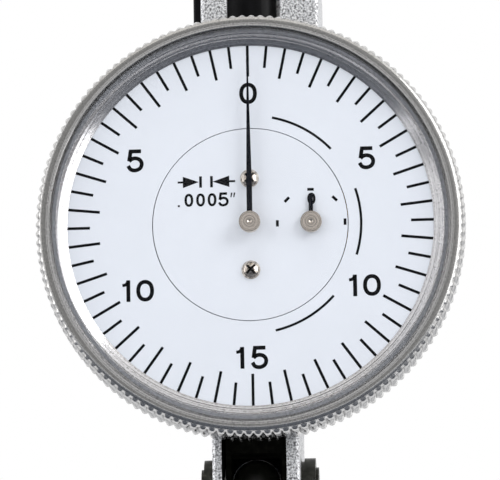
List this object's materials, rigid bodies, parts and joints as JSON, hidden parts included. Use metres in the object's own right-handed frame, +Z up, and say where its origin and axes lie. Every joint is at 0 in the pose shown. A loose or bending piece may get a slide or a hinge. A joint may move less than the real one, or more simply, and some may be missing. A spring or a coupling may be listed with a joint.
{
  "type": "dial test indicator",
  "caption": "Lever-type dial test indicator: round turning dial with two hands on a slim metal body, dovetail rails, and a swivelling ball-tipped stylus.",
  "frame": {"origin": "middle of the crown of the back dovetail rail, on the dial's axis", "axes": "+Z up along the body, away from the stylus; +Y towards the back, so the dial faces -Y; +X to the right of the dial"},
  "size_m": [0.0388, 0.0226, 0.0665],
  "materials": {
    "satin_chrome": "satin chrome plate over a fine blasted surface",
    "black_enamel": "glossy black stoved enamel",
    "black_oxide": "black oxide, oiled",
    "turned_steel": "turned and plated, fine circular lines",
    "nickel": "turned nickel plate",
    "steel": "ground tool steel",
    "brass": "milled brass",
    "ruby": "polished synthetic ruby",
    "dial_white": "matt white dial lacquer",
    "hand_black": "black lacquer",
    "acrylic": "clear polished acrylic",
    "nitrile": "black nitrile",
    "case_aluminium": "turned aluminium",
    "carbide": "polished tungsten carbide"
  },
  "bodies": {
    "root": {"body_frame": "satin_chrome", "upper_insert": "black_enamel", "insert_screw": "black_oxide", "side_cover": "black_enamel", "side_cover_screws": "black_oxide", "movement_plate": "brass", "movement_plate_screws": "steel", "left_pivot_bearing": "black_oxide", "right_pivot_bearing": "black_oxide", "bearing_shim": "black_oxide", "dial_case": "case_aluminium", "dial_case_screws": "steel", "dial_centre_disc": "dial_white", "dial_screws": "nickel", "bezel_spring": "steel", "centre_bridge": "brass", "centre_bridge_screws": "steel", "centre_bush": "brass", "centre_jewel": "ruby", "counter_bush": "brass", "crown_jewels": "ruby", "sector_jewels": "ruby", "hairspring": "steel", "hairspring_stud": "steel"},
    "bezel": {"bezel_ring": "turned_steel", "crystal": "acrylic", "crystal_seal": "nitrile", "dial_ring": "dial_white", "dial_clamp_ring": "turned_steel"},
    "lever": {"lever_fork": "black_oxide", "pivot_shaft": "steel", "drive_pin": "steel", "friction_washers": "steel"},
    "stylus": {"swivel_ball": "black_oxide", "stylus_stem": "steel", "contact_ball": "carbide"},
    "sector": {"sector_gear": "brass", "sector_arbor": "steel"},
    "crown": {"crown_gear": "brass", "crown_pinion": "steel", "crown_arbor": "steel"},
    "hand": {"centre_arbor": "steel", "centre_pinion": "steel", "counter_pinion": "steel", "hairspring_collet": "brass", "main_hub": "nickel", "main_hand": "hand_black"},
    "counter": {"counter_wheel": "brass", "counter_arbor": "steel", "counter_hub": "nickel", "counter_hand": "hand_black"}
  },
  "joints": [
    {"name": "bezel_turn", "type": "hinge", "parent": "root", "child": "bezel", "pos_m": [0, -0.0199, 0], "axis": [0, 1, 0], "continuous": true},
    {"name": "lever_swing", "type": "hinge", "parent": "root", "child": "lever", "pos_m": [0, -0.0105, -0.0225], "axis": [1, 0, 0], "range_deg": [-2.8, 2.8], "stiffness_Nm_per_rad": 0.05},
    {"name": "stylus_swivel", "type": "hinge", "parent": "lever", "child": "stylus", "pos_m": [0, -0.0105, -0.0225], "axis": [1, 0, 0], "range_deg": [-100, 92]},
    {"name": "sector_swing", "type": "hinge", "parent": "root", "child": "sector", "pos_m": [0, -0.0105, -0.01232], "axis": [1, 0, 0], "range_deg": [-12.61, 12.61]},
    {"name": "crown_spin", "type": "hinge", "parent": "root", "child": "crown", "pos_m": [0, -0.0105, 0], "axis": [1, 0, 0], "range_deg": [-126.1, 126.1]},
    {"name": "hand_spin", "type": "hinge", "parent": "root", "child": "hand", "pos_m": [0, -0.0199, 0], "axis": [0, 1, 0], "range_deg": [-378.3, 378.3], "deforming": ["hairspring"]},
    {"name": "counter_spin", "type": "hinge", "parent": "root", "child": "counter", "pos_m": [0.0055, -0.0199, 0], "axis": [0, 1, 0], "range_deg": [-94.6, 94.6]}
  ],
  "couplings": [
    {"joint": "sector_swing", "follows": "lever_swing", "ratio": -4.5},
    {"joint": "crown_spin", "follows": "lever_swing", "ratio": 45},
    {"joint": "hand_spin", "follows": "lever_swing", "ratio": -135},
    {"joint": "counter_spin", "follows": "lever_swing", "ratio": 33.75}
  ]
}
